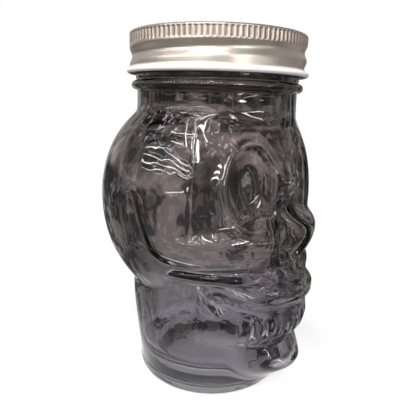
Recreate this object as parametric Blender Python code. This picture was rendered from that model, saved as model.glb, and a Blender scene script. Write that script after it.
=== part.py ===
"""A glass storage jar moulded in the shape of a skull, closed by a two-piece screw lid.

The jar stands on the plane z = 0 with its neck on the Z axis, and the skull looks along -Y.
Lengths are in metres. A bearing is an angle round the Z axis in degrees, 0 straight ahead of
the face, growing towards +X on one side and falling towards -X on the other.
"""

import math

import bmesh
import bpy
import numpy as np

# Foot and wall of the jar
base_radius = 0.0320
heel_radius = 0.0039
push_up_radius = 0.0228
push_up_depth = 0.0015
floor_thickness = 0.0085
floor_fillet = 0.0070
wall = 0.0028
cavity_smoothing = 0.0048
cavity_softness = 0.0012

# Neck and mouth
shoulder_height = 0.1160
neck_radius = 0.0327
bead_rise = 0.0083
bead_radius = 0.0350
bead_half_height = 0.0019
finish_height = 0.0168
root_radius = 0.0332
thread_radius = 0.0346
thread_half_width = 0.0017
bore_radius = 0.0286
lip_round = 0.0010

# Screw thread, shared by the glass and the band
thread_pitch = 0.00635
groove_drop = 0.0102
groove_start_turn = 0.05
groove_end_turn = 1.17
ridge_start_turn = 0.61
ridge_end_turn = 1.69
thread_run_out_turns = 0.08

# Skull: the masses that it is built of
blend_radius = 0.0007
side_reach = 0.0470
brow_reach = 0.0380
back_reach = 0.0498
widest_height = 0.0795
crown_rise = 0.0462
forehead_extra_rise = 0.0095
brain_drop = 0.0505
brain_roundness = 2.2
nape_radius = 0.0350
ledge_depth = 0.0052
ledge_top_softness = 0.0006
ledge_bottom_softness = 0.0026
cheek_reach = 0.0442
cheek_side_reach = 0.0452
cheek_back_reach = 0.0400
cheek_height = 0.0690
cheek_rise = 0.0170
cheek_drop = 0.0290
cheek_roundness = 1.6
cheek_ledge_depth = 0.0048
arch_reach = 0.0425
arch_half_height = 0.0036
arch_roll = 0.0060
muzzle_reach = 0.0493
muzzle_half_width = 0.0265
muzzle_back_reach = 0.0300
muzzle_ahead = 0.0170
muzzle_roundness = 12.0
jaw_reach = 0.0372
jaw_edge = 0.0022
jaw_relief = 0.0060

# Skull: what is pressed into the masses
socket_height = 0.0905
socket_half_height = 0.0150
socket_depth = 0.0078
socket_rim = 0.0005
socket_steepness = 3.2
rim_place_share = 1.32
rim_width_share = 0.22
nose_depth = 0.0066
nose_bone = 0.0036
tooth_relief = 0.0011
tooth_setback = 0.0007
lower_tooth_relief = 0.0006
lower_tooth_setback = 0.0004

# Bearings of the face, in degrees
socket_bearing = 25.0
socket_half_bearing = 14.5
tooth_pitch_bearing = 6.5
teeth_end_bearing = 29.0
teeth_fade_bearing = 5.0
jaw_rear_bearing = 64.0
jaw_rear_fade_bearing = 9.0
nose_bone_bearing = 9.0

# Lid
band_wall = 0.0005
band_radius = 0.0356
band_height = 0.0155
band_groove_depth = 0.0010
band_hole_radius = 0.0300
band_corner = 0.0011
knurl_height = 0.0042
knurl_depth = 0.0004
rib_count = 110
curl_radius = 0.0368
curl_half_height = 0.0010
disc_radius = 0.0342
disc_thickness = 0.0005
disc_panel_radius = 0.0272
disc_panel_rise = 0.0005
disc_panel_slope = 0.0016
ring_inner_radius = 0.0293
ring_outer_radius = 0.0332
ring_thickness = 0.0010
ring_round = 0.0003
seat_gap = 0.0003

# Heights that follow from the sizes above
bead_height = shoulder_height + bead_rise
rim_height = bead_height + finish_height
ring_bottom = rim_height + seat_gap
disc_bottom = ring_bottom + ring_thickness + seat_gap
band_underside = disc_bottom + disc_thickness + seat_gap
band_top = band_underside + band_wall
band_bottom = band_top - band_height
thread_datum = rim_height - groove_drop

# Outlines of the skull. Heights are shares of the shoulder height, reaches of the size named.
stem_height_shares = (0, 0.17, 0.345, 0.43, 0.52, 0.86, 1.0, 1.2)
stem_core_share = 0.95
ledge_bearings = (0, 8, 21, 40, 57, 70, 78, 81, 84, 88, 180)
ledge_height_shares = (0.448, 0.466, 0.50, 0.528, 0.531, 0.543, 0.565, 0.595, 0.664, 0.741, 0.776)
ledge_fade_bearings = (68, 80, 96)
ledge_fade_share = 0.25
arch_bearings = (0, 10, 20, 35, 55, 75, 180)
arch_height_shares = (0.440, 0.444, 0.451, 0.464, 0.466, 0.448, 0.431)
arch_reach_shares = (0.93, 0.95, 0.975, 0.975, 0.955, 0.88, 0.70)
muzzle_height_shares = (
    0.017, 0.052, 0.086, 0.121, 0.147, 0.172, 0.198, 0.220, 0.241,
    0.267, 0.310, 0.362, 0.405, 0.431, 0.457, 0.491, 0.534,
)
muzzle_reach_shares = (
    0.65, 0.71, 0.785, 0.888, 0.933, 0.907, 0.864, 0.832, 0.856,
    0.898, 0.921, 0.919, 0.974, 0.977, 0.898, 0.842, 0.791,
)
muzzle_width_height_shares = (0.04, 0.17, 0.26, 0.33, 0.40, 0.44, 0.52)
muzzle_width_shares = (0.64, 0.79, 0.98, 1.0, 0.95, 1.0, 1.0)
jaw_foot_bearings = (0, 12, 25, 40, 57, 90)
jaw_foot_height_shares = (0.103, 0.129, 0.181, 0.216, 0.224, 0.224)
jaw_top_bearings = (0, 22, 30, 38, 46, 53, 58, 90)
jaw_top_height_shares = (0.284, 0.293, 0.306, 0.328, 0.371, 0.427, 0.448, 0.448)
nose_height_shares = (0.50, 0.526, 0.569, 0.612, 0.655, 0.690, 0.724, 0.759)
nose_half_bearings = (2, 8, 13, 14.3, 11.5, 7.5, 4, 1)
nose_floor_shares = (0.513, 0.543)
nose_top_shares = (0.660, 0.765)
nose_bone_shares = (0.713, 0.776, 0.880)
nose_edge_share = 1.0
upper_tooth_shares = (0.233, 0.247, 0.312, 0.341)
gum_scallop_share = 0.0086
tooth_gap_share = 0.55
lower_tooth_shares = (0.159, 0.177, 0.203, 0.216)

# How finely the meshes are divided
face_bearing_steps = (0, 16, 34, 90, 180)
face_bearing_counts = (14, 11, 14, 9)
wall_row_shares = (heel_radius / shoulder_height, 0.15, 0.25, 0.42, 0.55, 0.77, 0.91, 1.0)
wall_row_counts = (4, 6, 7, 8, 12, 5, 3)
finish_columns = 48
cavity_columns = 40
cavity_rows = 17
finish_rows = 13
band_columns = 48
band_rows = 9
arc_steps = 3
stencil_steps = 2


def smooth_step(value, low, high):
    """0 below low, 1 above high, and an S-shaped rise between them."""
    share = np.clip((value - low) / (high - low), 0, 1)
    return share * share * (3 - 2 * share)


def curve(value, places, heights):
    """A smooth curve through hand-set points that never swings past them."""
    places = np.asarray(places, float)
    heights = np.asarray(heights, float)
    steps = np.diff(places)
    slopes = np.diff(heights) / steps
    before, after = slopes[:-1], slopes[1:]
    same_way = before * after > 0
    weight_before = 2 * steps[1:] + steps[:-1]
    weight_after = steps[1:] + 2 * steps[:-1]
    safe_before = np.where(same_way, before, 1)
    safe_after = np.where(same_way, after, 1)
    mean = (weight_before + weight_after) / (weight_before / safe_before + weight_after / safe_after)
    tangents = np.zeros_like(heights)
    tangents[1:-1] = np.where(same_way, mean, 0)
    index = np.clip(np.searchsorted(places, value) - 1, 0, len(places) - 2)
    step = steps[index]
    t = np.clip((value - places[index]) / step, 0, 1)
    start = heights[index] * (1 + 2 * t) * (1 - t) ** 2
    end = heights[index + 1] * t * t * (3 - 2 * t)
    leave = step * tangents[index] * t * (1 - t) ** 2
    arrive = step * tangents[index + 1] * t * t * (t - 1)
    return start + end + leave + arrive


def soft_max(reaches, softness):
    """The outermost of several masses, with their meeting lines filled by a small fillet."""
    outermost = np.max(reaches, axis=0)
    return outermost + softness * np.log(sum(np.exp((reach - outermost) / softness) for reach in reaches))


def egg(bearing, height, side, front, back, middle, rise, drop, roundness=2.0, ahead=0.0):
    """How far an egg-shaped mass reaches from the Z axis, at a bearing and a height."""
    offset = np.where(height > middle, (height - middle) / rise, (middle - height) / drop)
    room = np.clip(1 - np.abs(offset) ** roundness, 0, 1)
    forward = np.cos(np.radians(bearing))
    across = np.sin(np.radians(bearing))
    depth = np.where(forward > 0, front - ahead, back + ahead)
    square = across**2 / side**2 + forward**2 / depth**2
    linear = -2 * ahead * forward / depth**2
    constant = ahead**2 / depth**2 - room
    inside = linear**2 - 4 * square * constant
    reach = (-linear + np.sqrt(np.clip(inside, 0, None))) / (2 * square)
    return np.where(inside > 0, np.maximum(reach, 0), 0)


def skull_masses(bearing, height):
    """The skull without its hollows: brain case, cheeks, cheek arch, muzzle, jaw and nape."""
    share = height / shoulder_height
    hidden = stem_core_share * neck_radius
    stem_reaches = (
        base_radius,
        (base_radius + nape_radius) / 2,
        nape_radius,
        nape_radius,
        hidden,
        hidden,
        neck_radius,
        neck_radius,
    )
    stem = curve(share, stem_height_shares, stem_reaches)
    frontness = ((1 + np.cos(np.radians(bearing))) / 2) ** 2
    rise = crown_rise + forehead_extra_rise * frontness
    brain = egg(
        bearing, height, side_reach, brow_reach, back_reach,
        widest_height, rise, brain_drop, roundness=brain_roundness,
    )
    cheeks = egg(
        bearing, height, cheek_side_reach, cheek_reach, cheek_back_reach,
        cheek_height, cheek_rise, cheek_drop, roundness=cheek_roundness,
    )
    ledge = shoulder_height * curve(bearing, ledge_bearings, ledge_height_shares)
    under = 1 - smooth_step(height, ledge - ledge_bottom_softness, ledge + ledge_top_softness)
    fade_start, fade_middle, fade_end = ledge_fade_bearings
    strength = 1 - (1 - ledge_fade_share) * smooth_step(bearing, fade_start, fade_middle)
    strength = strength - ledge_fade_share * smooth_step(bearing, fade_middle, fade_end)
    brain = brain - ledge_depth * under * strength
    cheeks = cheeks - cheek_ledge_depth * under * strength
    arch_height = shoulder_height * curve(bearing, arch_bearings, arch_height_shares)
    arch = arch_reach * curve(bearing, arch_bearings, arch_reach_shares)
    arch = np.maximum(arch - arch_roll * ((height - arch_height) / arch_half_height) ** 2, 0)
    front = muzzle_reach * curve(share, muzzle_height_shares, muzzle_reach_shares)
    half_width = muzzle_half_width * curve(share, muzzle_width_height_shares, muzzle_width_shares)
    muzzle = egg(
        bearing, height, half_width, front, muzzle_back_reach,
        shoulder_height / 4, shoulder_height / 3, shoulder_height / 3,
        roundness=muzzle_roundness, ahead=muzzle_ahead,
    )
    jaw_foot = shoulder_height * curve(bearing, jaw_foot_bearings, jaw_foot_height_shares)
    jaw_top = shoulder_height * curve(bearing, jaw_top_bearings, jaw_top_height_shares)
    plate = smooth_step(jaw_rear_bearing - bearing, 0, jaw_rear_fade_bearing)
    plate = plate * smooth_step(height, jaw_foot - jaw_edge, jaw_foot + jaw_edge)
    plate = plate * (1 - smooth_step(height, jaw_top - jaw_edge, jaw_top + jaw_edge))
    jaw = jaw_reach - jaw_relief * (1 - plate)
    return soft_max([stem + 0 * brain, brain, cheeks, arch, muzzle, jaw], blend_radius)


def hollows(bearing, height):
    """What the eye sockets and the nose take away, less what their rims and the nose bone add."""
    share = height / shoulder_height
    across = (bearing - socket_bearing) / socket_half_bearing
    upward = (height - socket_height) / socket_half_height
    from_middle = np.sqrt(across**2 + upward**2)
    socket = socket_depth * np.exp(-(from_middle**socket_steepness))
    rim = socket_rim * np.exp(-(((from_middle - rim_place_share) / rim_width_share) ** 2))
    half_bearing = curve(share, nose_height_shares, nose_half_bearings)
    nose_end = smooth_step(share, *nose_floor_shares) * (1 - smooth_step(share, *nose_top_shares))
    inside = np.clip(1 - (bearing / half_bearing) ** 2, 0, 1) * nose_end
    nose = nose_depth * smooth_step(inside, 0, nose_edge_share)
    bone_low, bone_tip, bone_root = nose_bone_shares
    bone = smooth_step(share, bone_low, bone_tip) * (1 - smooth_step(share, bone_tip, bone_root))
    bone = nose_bone * bone * np.exp(-((bearing / nose_bone_bearing) ** 2))
    return socket - rim + nose - bone


def teeth(bearing, height):
    """The relief of both rows of teeth, as ridges that follow the front of the jaws."""
    share = height / shoulder_height
    mouth = 1 - smooth_step(bearing, teeth_end_bearing, teeth_end_bearing + teeth_fade_bearing)
    turn = bearing / tooth_pitch_bearing
    from_gap = 2 * np.abs((turn + 0.5) % 1.0 - 0.5)
    crown = smooth_step(from_gap, 0, tooth_gap_share)
    edge, full, gum, root = upper_tooth_shares
    scallop = gum_scallop_share * from_gap
    upper = smooth_step(share, edge, full) * (1 - smooth_step(share, gum - scallop, root))
    relief = mouth * upper * (tooth_relief * crown - tooth_setback)
    root, gum, full, edge = lower_tooth_shares
    lower = smooth_step(share, root, gum) * (1 - smooth_step(share, full, edge))
    return relief + mouth * lower * (lower_tooth_relief * crown - lower_tooth_setback)


def heel(height):
    """How far the rounded heel draws in towards the base."""
    drop = np.clip((heel_radius - height) / heel_radius, 0, 1)
    return heel_radius * (1 - np.sqrt(1 - drop * drop))


def skull_reach(bearing, height):
    """How far the outside of the skull lies from the Z axis. Both sides are alike."""
    bearing = np.abs((bearing + 180) % 360 - 180)
    reach = skull_masses(bearing, height) - hollows(bearing, height) + teeth(bearing, height)
    return reach - heel(height)


def cavity_reach(bearing, height):
    """How far the inside lies from the Z axis: a wall's depth under the lowest skin nearby.

    The glass is thickest where the skull stands proud, and the inside is smoother than the outside.
    """
    spread = np.linspace(-cavity_smoothing, cavity_smoothing, 2 * stencil_steps + 1)
    total = 0
    for aside in spread:
        for up in spread:
            near_bearing = bearing + np.degrees(aside / nape_radius)
            near_height = np.clip(height + up, heel_radius, shoulder_height)
            total = total + np.exp(-skull_reach(near_bearing, near_height) / cavity_softness)
    lowest = -cavity_softness * np.log(total / len(spread) ** 2)
    lowest = lowest - wall
    neck_start = shoulder_height - bead_rise
    to_bore = smooth_step(height, neck_start, shoulder_height)
    return lowest * (1 - to_bore) + bore_radius * to_bore


def thread_turns(bearing, height, lead):
    """Which turn of a helix lies nearest, as turns from its start, and how far off it lies."""
    turn = (bearing % 360) / 360
    count = (height - thread_datum + lead) / thread_pitch - turn
    nearest = np.round(count)
    return nearest + turn, (count - nearest) * thread_pitch


def run_out(along, start, end):
    rising = smooth_step(along, start - thread_run_out_turns, start + thread_run_out_turns)
    return rising * (1 - smooth_step(along, end - thread_run_out_turns, end + thread_run_out_turns))


def glass_thread(bearing, height):
    """Height of the moulded ridge above the mouth's root radius. It runs between two grooves."""
    along, off = thread_turns(bearing, height, thread_pitch / 2)
    ridge = np.cos(np.clip(off / thread_half_width, -1, 1) * math.pi / 2) ** 2
    return (thread_radius - root_radius) * ridge * run_out(along, ridge_start_turn, ridge_end_turn)


def band_groove(bearing, height):
    """Depth of the groove that is rolled into the band, which bears under the glass ridge."""
    along, off = thread_turns(bearing, height, 0)
    dip = np.cos(off / thread_pitch * 2 * math.pi) / 2 + 1 / 2
    return band_groove_depth * dip * run_out(along, groove_start_turn, groove_end_turn)


def even_bearings(count):
    return -180 + 360 * np.arange(count) / count


def face_bearings():
    """Bearings of the skull's columns: close at the face, wide at the back."""
    half = [0.0]
    for start, end, count in zip(face_bearing_steps, face_bearing_steps[1:], face_bearing_counts):
        half.extend(start + (end - start) * (step + 1) / count for step in range(count))
    left = [-bearing for bearing in reversed(half[1:])]
    return np.array(left + half[:-1])


def rows(shares, counts):
    found = [shares[0]]
    for start, end, count in zip(shares, shares[1:], counts):
        found.extend(start + (end - start) * (step + 1) / count for step in range(count))
    return found


def ring(bearings, reach, height):
    """One ring of points: a bearing of 0 faces -Y."""
    bearings = np.asarray(bearings, float)
    reach = reach + 0 * bearings
    height = height + 0 * bearings
    angle = np.radians(bearings)
    return bearings, np.stack([reach * np.sin(angle), -reach * np.cos(angle), height], axis=1)


def stitch(mesh, first, second):
    """Joins two rings that may differ in their number of points, always taking the nearer next."""
    bearings_a, verts_a = first
    bearings_b, verts_b = second
    if len(verts_a) == len(verts_b):
        count = len(verts_a)
        for i in range(count):
            j = (i + 1) % count
            mesh.faces.new((verts_a[i], verts_a[j], verts_b[j], verts_b[i]))
        return
    ends_a = np.append(bearings_a[1:], bearings_a[0] + 360)
    ends_b = np.append(bearings_b[1:], bearings_b[0] + 360)
    i = j = 0
    while i < len(verts_a) or j < len(verts_b):
        here_a, here_b = verts_a[i % len(verts_a)], verts_b[j % len(verts_b)]
        step_a = j == len(verts_b) or (i < len(verts_a) and ends_a[i] <= ends_b[j])
        if step_a:
            i += 1
            mesh.faces.new((here_a, verts_a[i % len(verts_a)], here_b))
        else:
            j += 1
            mesh.faces.new((here_a, verts_b[j % len(verts_b)], here_b))


def skin(name, rings, material, smooth_angle, closed=False):
    """One closed body from rings in order, either a tube bent back on itself or capped by poles."""
    mesh = bmesh.new()
    made = []
    for bearings, points in rings:
        made.append((bearings, [mesh.verts.new(point) for point in points]))
    for first, second in zip(made, made[1:]):
        stitch(mesh, first, second)
    if closed:
        stitch(mesh, made[-1], made[0])
    else:
        for bearings, verts in (made[0], made[-1]):
            pole = mesh.verts.new((0, 0, verts[0].co.z))
            for i, vert in enumerate(verts):
                mesh.faces.new((vert, verts[(i + 1) % len(verts)], pole))
    bmesh.ops.recalc_face_normals(mesh, faces=mesh.faces[:])
    data = bpy.data.meshes.new(name)
    mesh.to_mesh(data)
    mesh.free()
    data.shade_smooth()
    data.set_sharp_from_angle(angle=math.radians(smooth_angle))
    data.materials.append(material)
    item = bpy.data.objects.new(name, data)
    bpy.context.scene.collection.objects.link(item)
    return item


def principled(name, colour, roughness, metallic=0.0, transmission=0.0):
    material = bpy.data.materials.new(name)
    material.use_nodes = True
    shader = material.node_tree.nodes["Principled BSDF"]
    shader.inputs["Base Color"].default_value = (*colour, 1.0)
    shader.inputs["Roughness"].default_value = roughness
    shader.inputs["Metallic"].default_value = metallic
    shader.inputs["Transmission Weight"].default_value = transmission
    material.diffuse_color = (*colour, 1.0)
    return material


def arc(middle_radius, middle_height, across, up, start, end):
    """Points (radius, height) along a quarter or half ellipse, by angle in degrees."""
    angles = np.radians(np.linspace(start, end, arc_steps + 1))
    return [(middle_radius + across * math.cos(a), middle_height + up * math.sin(a)) for a in angles]


def jar_rings():
    """The jar's rings from the middle of its underside, up outside, over the lip and down inside."""
    face = face_bearings()
    even = even_bearings(finish_columns)
    inside = even_bearings(cavity_columns)
    foot_radius = base_radius - heel_radius
    found = [
        ring(inside, push_up_radius - push_up_depth, push_up_depth),
        ring(inside, push_up_radius, 0),
        ring(even, foot_radius, 0),
    ]
    for step in range(1, arc_steps):
        drop = math.radians(90 * (1 - step / arc_steps))
        height = heel_radius * (1 - math.sin(drop))
        found.append(ring(even, skull_reach(even, height), height))
    for share in rows(wall_row_shares, wall_row_counts):
        height = share * shoulder_height
        found.append(ring(face, skull_reach(face, height), height))
    for radius, height in arc(neck_radius, bead_height, bead_radius - neck_radius, bead_half_height, -90, 90):
        found.append(ring(even, radius, height))
    top = rim_height - lip_round
    start = bead_height + bead_half_height + (root_radius - neck_radius)
    for height in np.linspace(start, top, finish_rows):
        found.append(ring(even, root_radius + glass_thread(even, height), height))
    found.append(ring(even, root_radius - lip_round, rim_height))
    found.append(ring(inside, bore_radius + lip_round, rim_height))
    found.append(ring(inside, bore_radius, top))
    floor = floor_thickness
    for height in np.linspace(shoulder_height, floor + floor_fillet, cavity_rows):
        found.append(ring(inside, cavity_reach(inside, height), height))
    edge = cavity_reach(inside, floor + floor_fillet)
    for step in range(1, arc_steps + 1):
        turn = math.radians(90 * step / arc_steps)
        drawn_in = floor_fillet * (1 - math.cos(turn))
        found.append(ring(inside, edge - drawn_in, floor + floor_fillet * (1 - math.sin(turn))))
    return found


def band_rings():
    """The band's rings: over the top, down its ribbed and threaded outside, and up its inside."""
    even = even_bearings(band_columns)
    ribs = even_bearings(2 * rib_count)
    rib = np.where(np.arange(2 * rib_count) % 2 == 0, knurl_depth, 0)
    inner_radius = band_radius - band_wall
    corner_height = band_top - band_corner
    knurl_foot = corner_height - knurl_height
    run_in = knurl_depth * 2
    curl_height = band_bottom + curl_half_height
    curl_top = curl_height + curl_half_height
    flat_radius = band_radius - band_corner
    found = [ring(even, band_hole_radius, band_underside), ring(even, band_hole_radius, band_top)]
    for radius, height in arc(flat_radius, corner_height, band_corner, band_corner, 90, 0):
        found.append(ring(even, radius, height))
    found.append(ring(ribs, band_radius, corner_height - run_in / 2))
    found.append(ring(ribs, band_radius - rib, corner_height - run_in))
    found.append(ring(ribs, band_radius - rib, knurl_foot + run_in))
    found.append(ring(ribs, band_radius, knurl_foot))
    knurl_foot = knurl_foot - run_in / 2
    found.append(ring(even, band_radius, knurl_foot))
    heights = np.linspace(knurl_foot, curl_top + curl_half_height, band_rows + 1)
    for height in heights[1:]:
        found.append(ring(even, band_radius - band_groove(even, height), height))
    for radius, height in arc(band_radius, curl_height, curl_radius - band_radius, curl_half_height, 90, -90):
        found.append(ring(even, radius, height))
    found.append(ring(even, inner_radius, curl_height))
    for height in heights[::-1]:
        found.append(ring(even, inner_radius - band_groove(even, height), height))
    found.append(ring(even, inner_radius, corner_height))
    found.append(ring(even, flat_radius, band_underside))
    return found


def disc_rings():
    """The flat lid: a thin disc whose middle panel is raised into the band's opening."""
    even = even_bearings(band_columns)
    top = disc_bottom + disc_thickness
    slope_foot = disc_panel_radius + disc_panel_slope
    return [
        ring(even, disc_panel_radius, disc_bottom + disc_panel_rise),
        ring(even, slope_foot, disc_bottom),
        ring(even, disc_radius, disc_bottom),
        ring(even, disc_radius, top),
        ring(even, slope_foot, top),
        ring(even, disc_panel_radius, top + disc_panel_rise),
    ]


def seal_rings():
    """The soft ring under the lid's edge, which closes on the lip of the glass."""
    even = even_bearings(band_columns)
    top = ring_bottom + ring_thickness
    return [
        ring(even, ring_inner_radius + ring_round, ring_bottom),
        ring(even, ring_outer_radius - ring_round, ring_bottom),
        ring(even, ring_outer_radius, ring_bottom + ring_round),
        ring(even, ring_outer_radius, top - ring_round),
        ring(even, ring_outer_radius - ring_round, top),
        ring(even, ring_inner_radius + ring_round, top),
        ring(even, ring_inner_radius, top - ring_round),
        ring(even, ring_inner_radius, ring_bottom + ring_round),
    ]


def main():
    for item in list(bpy.data.objects):
        bpy.data.objects.remove(item, do_unlink=True)
    glass = principled("smoke_glass", (0.30, 0.28, 0.30), 0.02, transmission=1.0)
    tin = principled("satin_tinplate", (0.72, 0.69, 0.64), 0.32, metallic=1.0)
    compound = principled("sealing_compound", (0.82, 0.80, 0.76), 0.60)
    skin("glass_jar", jar_rings(), glass, 50)
    skin("sealing_ring", seal_rings(), compound, 35, closed=True)
    skin("lid_disc", disc_rings(), tin, 35)
    skin("screw_band", band_rings(), tin, 35, closed=True)


main()
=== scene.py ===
# %% [markdown]
# # A skull-shaped storage jar of smoke-grey glass
#
# The jar is one thick body of pressed glass with a ribbed metal screw band over a flat lid. The packed
# model gives its true sizes and moving bodies. This lesson puts the fine surfaces over that frame:
# every shape is a formula in numpy, worked out on a whole grid at once and then put into a mesh.

import math

import bpy
import numpy as np
from mathutils import Matrix, Vector


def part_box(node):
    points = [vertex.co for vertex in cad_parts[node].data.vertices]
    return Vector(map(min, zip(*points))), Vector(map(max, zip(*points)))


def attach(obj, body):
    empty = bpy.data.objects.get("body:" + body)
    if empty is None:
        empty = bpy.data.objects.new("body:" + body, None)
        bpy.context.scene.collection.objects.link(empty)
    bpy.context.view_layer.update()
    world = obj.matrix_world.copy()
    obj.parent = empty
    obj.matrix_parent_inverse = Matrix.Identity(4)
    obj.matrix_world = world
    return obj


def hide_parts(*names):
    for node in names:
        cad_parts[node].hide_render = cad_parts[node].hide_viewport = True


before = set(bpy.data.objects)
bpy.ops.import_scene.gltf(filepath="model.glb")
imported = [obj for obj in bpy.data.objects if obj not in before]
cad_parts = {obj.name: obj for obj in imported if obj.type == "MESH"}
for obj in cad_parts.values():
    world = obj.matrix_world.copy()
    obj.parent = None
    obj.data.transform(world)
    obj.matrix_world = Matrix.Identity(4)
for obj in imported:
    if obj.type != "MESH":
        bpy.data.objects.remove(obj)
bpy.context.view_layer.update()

# %% [markdown]
# ## Sizes
#
# The glass stands on z = 0 with its neck on the Z axis, and the skull looks along -Y. The heights and
# radii that pieces share are named once here. What the frame already knows, such as the lid's top and
# foot, is read from its nodes, so the fine pieces can't drift from the solids that they stand for.
# A bearing is an angle round Z: 0 is straight ahead of the face, and +90 is the skull's left side.
# A share is a part of the height of the shoulder, and a run is where a thread starts and ends, in
# turns.

# %% Shared sizes
band_low, band_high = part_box("screw_band")
_, jar_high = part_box("glass_jar")
band_top = band_high.z
band_bottom = band_low.z
rim_height = jar_high.z
shoulder_height = 0.1160
neck_radius = 0.0327
bead_rise = 0.0083
bead_height = shoulder_height + bead_rise
bead_radius = 0.0350
bead_half_height = 0.0019
root_radius = 0.0332
thread_radius = 0.0346
bore_radius = 0.0286
lip_round = 0.0010
base_radius = 0.0320
heel_radius = 0.0039
nape_radius = 0.0350
thread_pitch = 0.00635
thread_datum = rim_height - 0.0102
thread_half_width = 0.0017
thread_run, groove_run = (0.61, 1.69), (0.05, 1.17)
print("rim", round(rim_height, 4), "band", round(band_bottom, 4), "to", round(band_top, 4))

# %% [markdown]
# ## Small curves that the forms are drawn with
#
# A skull has no straight generator, so its outlines are a few given points joined by smooth
# curves. A B-spline would round the points off, and a plain polynomial would swing past them. A cubic
# whose slopes are kept monotone does neither, and it works on whole arrays.

# %% Curves and steps


def smooth_step(value, low, high):
    """0 below low, 1 above high, and between them 3t^2 - 2t^3 of the share t of the way."""
    share = np.clip((value - low) / (high - low), 0, 1)
    return share * share * (3 - 2 * share)


def bell(value, middle, width):
    """A bump of height 1: e to the power of minus the squared distance in widths."""
    return np.exp(-(((value - middle) / width) ** 2))


def curve(value, places, heights):
    """Cubic through the points. Each slope is the weighted harmonic mean of its two chords."""
    places = np.asarray(places, float)
    heights = np.asarray(heights, float)
    steps = np.diff(places)
    slopes = np.diff(heights) / steps
    before, after = slopes[:-1], slopes[1:]
    same_way = before * after > 0
    weight_before = 2 * steps[1:] + steps[:-1]
    weight_after = steps[1:] + 2 * steps[:-1]
    safe_before = np.where(same_way, before, 1)
    safe_after = np.where(same_way, after, 1)
    mean = (weight_before + weight_after) / (weight_before / safe_before + weight_after / safe_after)
    tangents = np.zeros_like(heights)
    tangents[1:-1] = np.where(same_way, mean, 0)
    index = np.clip(np.searchsorted(places, value) - 1, 0, len(places) - 2)
    step = steps[index]
    t = np.clip((value - places[index]) / step, 0, 1)
    start = heights[index] * (1 + 2 * t) * (1 - t) ** 2
    end = heights[index + 1] * t * t * (3 - 2 * t)
    leave = step * tangents[index] * t * (1 - t) ** 2
    arrive = step * tangents[index + 1] * t * t * (t - 1)
    return start + end + leave + arrive


print("a curve at 0.5:", round(float(curve(0.5, (0, 1, 2), (0, 1, 1.5))), 3))

# %% [markdown]
# ## The skull
#
# Pressed glass has no undercuts, so the whole outside can be told as one number: how far the skin
# lies from the Z axis at each bearing and height. That keeps the jar a single sheet with no seams to
# hide. Egg-shaped masses stand for the brain case, cheeks and muzzle, and a stem, a bar and a plate for
# nape, cheek arch and jaw. The outermost wins, with a small fillet where two meet.

# %% Eggs and the fillet between them


def egg(bearing, height, side, front, back, middle, rise, drop, roundness, ahead=0.0):
    """Distance from Z to an ellipse whose size shrinks with |height - middle|.

    The ray at a bearing meets the ellipse where a r^2 + b r + c = 0. Its far root is returned.
    """
    offset = np.where(height > middle, (height - middle) / rise, (middle - height) / drop)
    ease = 0.22
    fall = (offset**2 + ease**2) ** (roundness / 2) - ease**roundness
    room = np.clip(1 - fall, 0, 1)
    forward = np.cos(np.radians(bearing))
    across = np.sin(np.radians(bearing))
    depth = np.where(forward > 0, front - ahead, back + ahead)
    square = across**2 / side**2 + forward**2 / depth**2
    linear = -2 * ahead * forward / depth**2
    constant = ahead**2 / depth**2 - room
    inside = linear**2 - 4 * square * constant
    reach = (-linear + np.sqrt(np.clip(inside, 0, None))) / (2 * square)
    return np.where(inside > 0, np.maximum(reach, 0), 0)


def soft_max(reaches, softness):
    """Logarithm of the sum of exponentials: the largest reach, with a fillet at the meeting lines."""
    outermost = np.max(reaches, axis=0)
    total = sum(np.exp((reach - outermost) / softness) for reach in reaches)
    return outermost + softness * np.log(total)


print("soft maximum of 1 and 1:", round(float(soft_max([1.0, 1.0], 0.1)), 3))

# %% [markdown]
# The outlines are tables of points, read from the photograph: a share of the shoulder's height
# or of a reach, at some bearings or heights. What steps out from what, and by how much, has a name.

# %% Outlines of the skull
STEM_SHARES = (0, 0.17, 0.345, 0.43, 0.52, 0.86, 1.0, 1.2)
HIDDEN_SHARE = 0.95
MASS_FILLET = 0.0007
BRAIN_RISE, FOREHEAD_RISE = 0.0462, 0.0095
LEDGE_BELOW, LEDGE_ABOVE = 0.0022, 0.0004
BRAIN_UNDERCUT, CHEEK_UNDERCUT = 0.0062, 0.0060
ARCH_REACH, ARCH_FALL, ARCH_HALF_HEIGHT = 0.0425, 0.0060, 0.0037
MUZZLE_REACH, MUZZLE_HALF_WIDTH, MUZZLE_BACK, MUZZLE_AHEAD = 0.0493, 0.0265, 0.0300, 0.0170
JAW_REACH, JAW_RELIEF = 0.0372, 0.0060
JAW_FOOT_BELOW, JAW_FOOT_ABOVE, JAW_TOP_EASE = 0.0070, 0.0060, 0.0022
JAW_BACK_BEARING, JAW_BACK_EASE = 65.0, 13.0
LEDGE_BEARINGS = (0, 8, 21, 40, 57, 70, 78, 81, 84, 88, 180)
LEDGE_SHARES = (0.444, 0.460, 0.486, 0.504, 0.507, 0.520, 0.554, 0.595, 0.664, 0.741, 0.776)
ARCH_BEARINGS = (0, 10, 20, 35, 55, 75, 180)
ARCH_HEIGHT_SHARES = (0.440, 0.445, 0.455, 0.474, 0.481, 0.469, 0.431)
ARCH_REACH_SHARES = (0.93, 0.955, 0.99, 0.985, 0.955, 0.88, 0.70)
MUZZLE_HEIGHT_SHARES = (
    0.017, 0.052, 0.086, 0.121, 0.147, 0.172, 0.198, 0.220, 0.241,
    0.267, 0.310, 0.362, 0.405, 0.431, 0.457, 0.491, 0.534,
)
MUZZLE_REACH_SHARES = (
    0.65, 0.71, 0.785, 0.888, 0.933, 0.907, 0.864, 0.832, 0.856,
    0.898, 0.921, 0.919, 0.974, 0.977, 0.898, 0.842, 0.791,
)
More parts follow.
